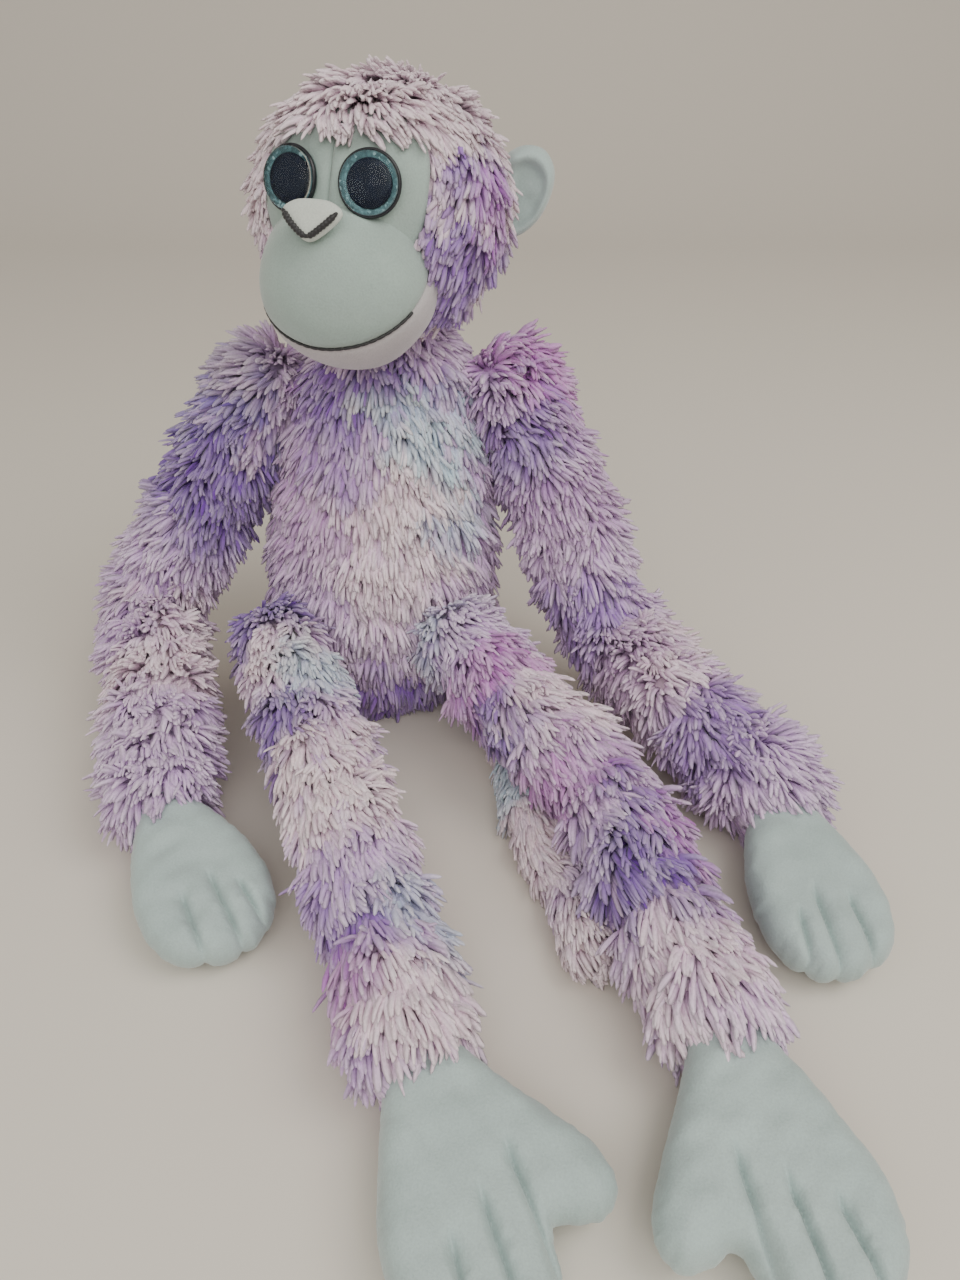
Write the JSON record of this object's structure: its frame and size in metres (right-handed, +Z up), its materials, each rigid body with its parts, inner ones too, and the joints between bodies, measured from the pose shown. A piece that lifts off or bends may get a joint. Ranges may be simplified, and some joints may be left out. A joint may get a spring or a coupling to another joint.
{
  "type": "plush monkey",
  "caption": "Seated long-limbed plush monkey in tie-dyed shaggy fur with smooth face, ears, hands and feet, jointed where its stuffed limbs bend.",
  "frame": {"origin": "middle of the front of the flat underside of the seat, on the surface the toy sits on", "axes": "+Z up, -Y the way the chest faces, +X the toy's left side"},
  "size_m": [0.309, 0.3585, 0.259],
  "materials": {
    "hood_fur": "matte",
    "torso_fur": "matte",
    "arm_fur": "matte",
    "leg_fur": "matte",
    "tail_fur": "matte",
    "fibrefill": "matte",
    "mint_suede": "matte",
    "black_thread": "satin",
    "eye_lens": "gloss",
    "eye_glitter": "gloss",
    "eye_pupil": "gloss",
    "washer_plastic": "satin"
  },
  "bodies": {
    "torso": {"torso_fur_cover": "torso_fur", "torso_stuffing": "fibrefill"},
    "neck": {"neck_stuffing": "fibrefill"},
    "head": {"head_fur_hood": "hood_fur", "head_stuffing": "fibrefill", "face_panel_left": "mint_suede", "face_panel_right": "mint_suede", "muzzle_cover": "mint_suede", "muzzle_stuffing": "fibrefill", "chin_panel": "mint_suede", "mouth_embroidery": "black_thread", "nose_bridge": "mint_suede", "nostril_embroidery": "black_thread", "eye_left_lens": "eye_lens", "eye_left_pupil": "eye_pupil", "eye_left_iris_disc": "eye_glitter", "eye_left_lock_washer": "washer_plastic", "eye_right_lens": "eye_lens", "eye_right_pupil": "eye_pupil", "eye_right_iris_disc": "eye_glitter", "eye_right_lock_washer": "washer_plastic"},
    "right_ear": {"ear_right_front_panel": "mint_suede", "ear_right_back_panel": "mint_suede"},
    "left_ear": {"ear_left_front_panel": "mint_suede", "ear_left_back_panel": "mint_suede"},
    "right_upper_arm": {"right_upper_arm_fur_cover": "arm_fur", "right_upper_arm_stuffing": "fibrefill"},
    "right_forearm": {"right_forearm_fur_cover": "arm_fur", "right_forearm_stuffing": "fibrefill"},
    "right_hand": {"right_hand_back_panel": "mint_suede", "right_hand_palm_panel": "mint_suede", "right_hand_stuffing": "fibrefill"},
    "left_upper_arm": {"left_upper_arm_fur_cover": "arm_fur", "left_upper_arm_stuffing": "fibrefill"},
    "left_forearm": {"left_forearm_fur_cover": "arm_fur", "left_forearm_stuffing": "fibrefill"},
    "left_hand": {"left_hand_back_panel": "mint_suede", "left_hand_palm_panel": "mint_suede", "left_hand_stuffing": "fibrefill"},
    "right_thigh": {"right_thigh_fur_cover": "leg_fur", "right_thigh_stuffing": "fibrefill"},
    "right_shin": {"right_shin_fur_cover": "leg_fur", "right_shin_stuffing": "fibrefill"},
    "right_foot": {"right_foot_top_panel": "mint_suede", "right_foot_sole_panel": "mint_suede", "right_foot_stuffing": "fibrefill"},
    "left_thigh": {"left_thigh_fur_cover": "leg_fur", "left_thigh_stuffing": "fibrefill"},
    "left_shin": {"left_shin_fur_cover": "leg_fur", "left_shin_stuffing": "fibrefill"},
    "left_foot": {"left_foot_top_panel": "mint_suede", "left_foot_sole_panel": "mint_suede", "left_foot_stuffing": "fibrefill"},
    "tail_base": {"tail_base_fur_cover": "tail_fur", "tail_base_stuffing": "fibrefill"},
    "tail_tip": {"tail_tip_fur_cover": "tail_fur", "tail_tip_stuffing": "fibrefill"}
  },
  "joints": [
    {"name": "neck_turn", "type": "hinge", "parent": "torso", "child": "neck", "pos_m": [0.009, 0.038, 0.166], "axis": [0, 0, 1], "range_deg": [-20, 55]},
    {"name": "neck_nod", "type": "hinge", "parent": "neck", "child": "head", "pos_m": [0.009, 0.038, 0.166], "axis": [0.9455, -0.3256, 0], "range_deg": [-30, 15]},
    {"name": "right_ear_fold", "type": "hinge", "parent": "head", "child": "right_ear", "pos_m": [-0.02282, 0.06385, 0.214], "axis": [0, 0, 1], "range_deg": [-25, 25], "stiffness_Nm_per_rad": 0.003},
    {"name": "left_ear_fold", "type": "hinge", "parent": "head", "child": "left_ear", "pos_m": [0.05849, 0.03586, 0.214], "axis": [0, 0, 1], "range_deg": [-25, 25], "stiffness_Nm_per_rad": 0.003},
    {"name": "right_shoulder_swing", "type": "hinge", "parent": "torso", "child": "right_upper_arm", "pos_m": [-0.0445, 0.036, 0.14], "axis": [-1, 0, 0], "range_deg": [-25, 120]},
    {"name": "right_elbow_bend", "type": "hinge", "parent": "right_upper_arm", "child": "right_forearm", "pos_m": [-0.10075, 0.00588, 0.04553], "axis": [-0.9692, -0.2462, 0], "range_deg": [-40, 15]},
    {"name": "right_wrist_bend", "type": "hinge", "parent": "right_forearm", "child": "right_hand", "pos_m": [-0.07446, -0.09765, 0.01924], "axis": [-0.8503, -0.5264, 0], "range_deg": [-40, 40]},
    {"name": "left_shoulder_swing", "type": "hinge", "parent": "torso", "child": "left_upper_arm", "pos_m": [0.0605, 0.036, 0.14], "axis": [1, 0, 0], "range_deg": [-120, 25]},
    {"name": "left_elbow_bend", "type": "hinge", "parent": "left_upper_arm", "child": "left_forearm", "pos_m": [0.10532, -0.00495, 0.04351], "axis": [-0.8503, -0.5264, 0], "range_deg": [-40, 35]},
    {"name": "left_wrist_bend", "type": "hinge", "parent": "left_forearm", "child": "left_hand", "pos_m": [0.16184, -0.09624, 0.0196], "axis": [-0.9927, -0.1209, 0], "range_deg": [-40, 40]},
    {"name": "right_hip_swing", "type": "hinge", "parent": "torso", "child": "right_thigh", "pos_m": [-0.04, -0.02, 0.043], "axis": [-0.9285, -0.3714, 0], "range_deg": [-20, 45]},
    {"name": "right_knee_bend", "type": "hinge", "parent": "right_thigh", "child": "right_shin", "pos_m": [-0.00389, -0.11028, 0.0308], "axis": [-0.9398, -0.3417, 0], "range_deg": [-60, 60]},
    {"name": "right_ankle_bend", "type": "hinge", "parent": "right_shin", "child": "right_foot", "pos_m": [0.02934, -0.20166, 0.01858], "axis": [-0.9652, -0.2614, 0], "range_deg": [-40, 40]},
    {"name": "left_hip_swing", "type": "hinge", "parent": "torso", "child": "left_thigh", "pos_m": [0.04, -0.02, 0.043], "axis": [-0.8374, -0.5466, 0], "range_deg": [0, 45]},
    {"name": "left_knee_bend", "type": "hinge", "parent": "left_thigh", "child": "left_shin", "pos_m": [0.09315, -0.10143, 0.03081], "axis": [-0.9536, -0.3011, 0], "range_deg": [-5, 60]},
    {"name": "left_ankle_bend", "type": "hinge", "parent": "left_shin", "child": "left_foot", "pos_m": [0.12243, -0.19415, 0.01861], "axis": [-0.9536, -0.3011, 0], "range_deg": [-40, 40]},
    {"name": "tail_base_swing", "type": "hinge", "parent": "torso", "child": "tail_base", "pos_m": [0.015, 0.05, 0.015], "axis": [-1, 0, 0], "range_deg": [-75, 0]},
    {"name": "tail_tip_swing", "type": "hinge", "parent": "tail_base", "child": "tail_tip", "pos_m": [0.066, -0.076, 0.0085], "axis": [0, 0, 1], "range_deg": [-30, 0]}
  ]
}
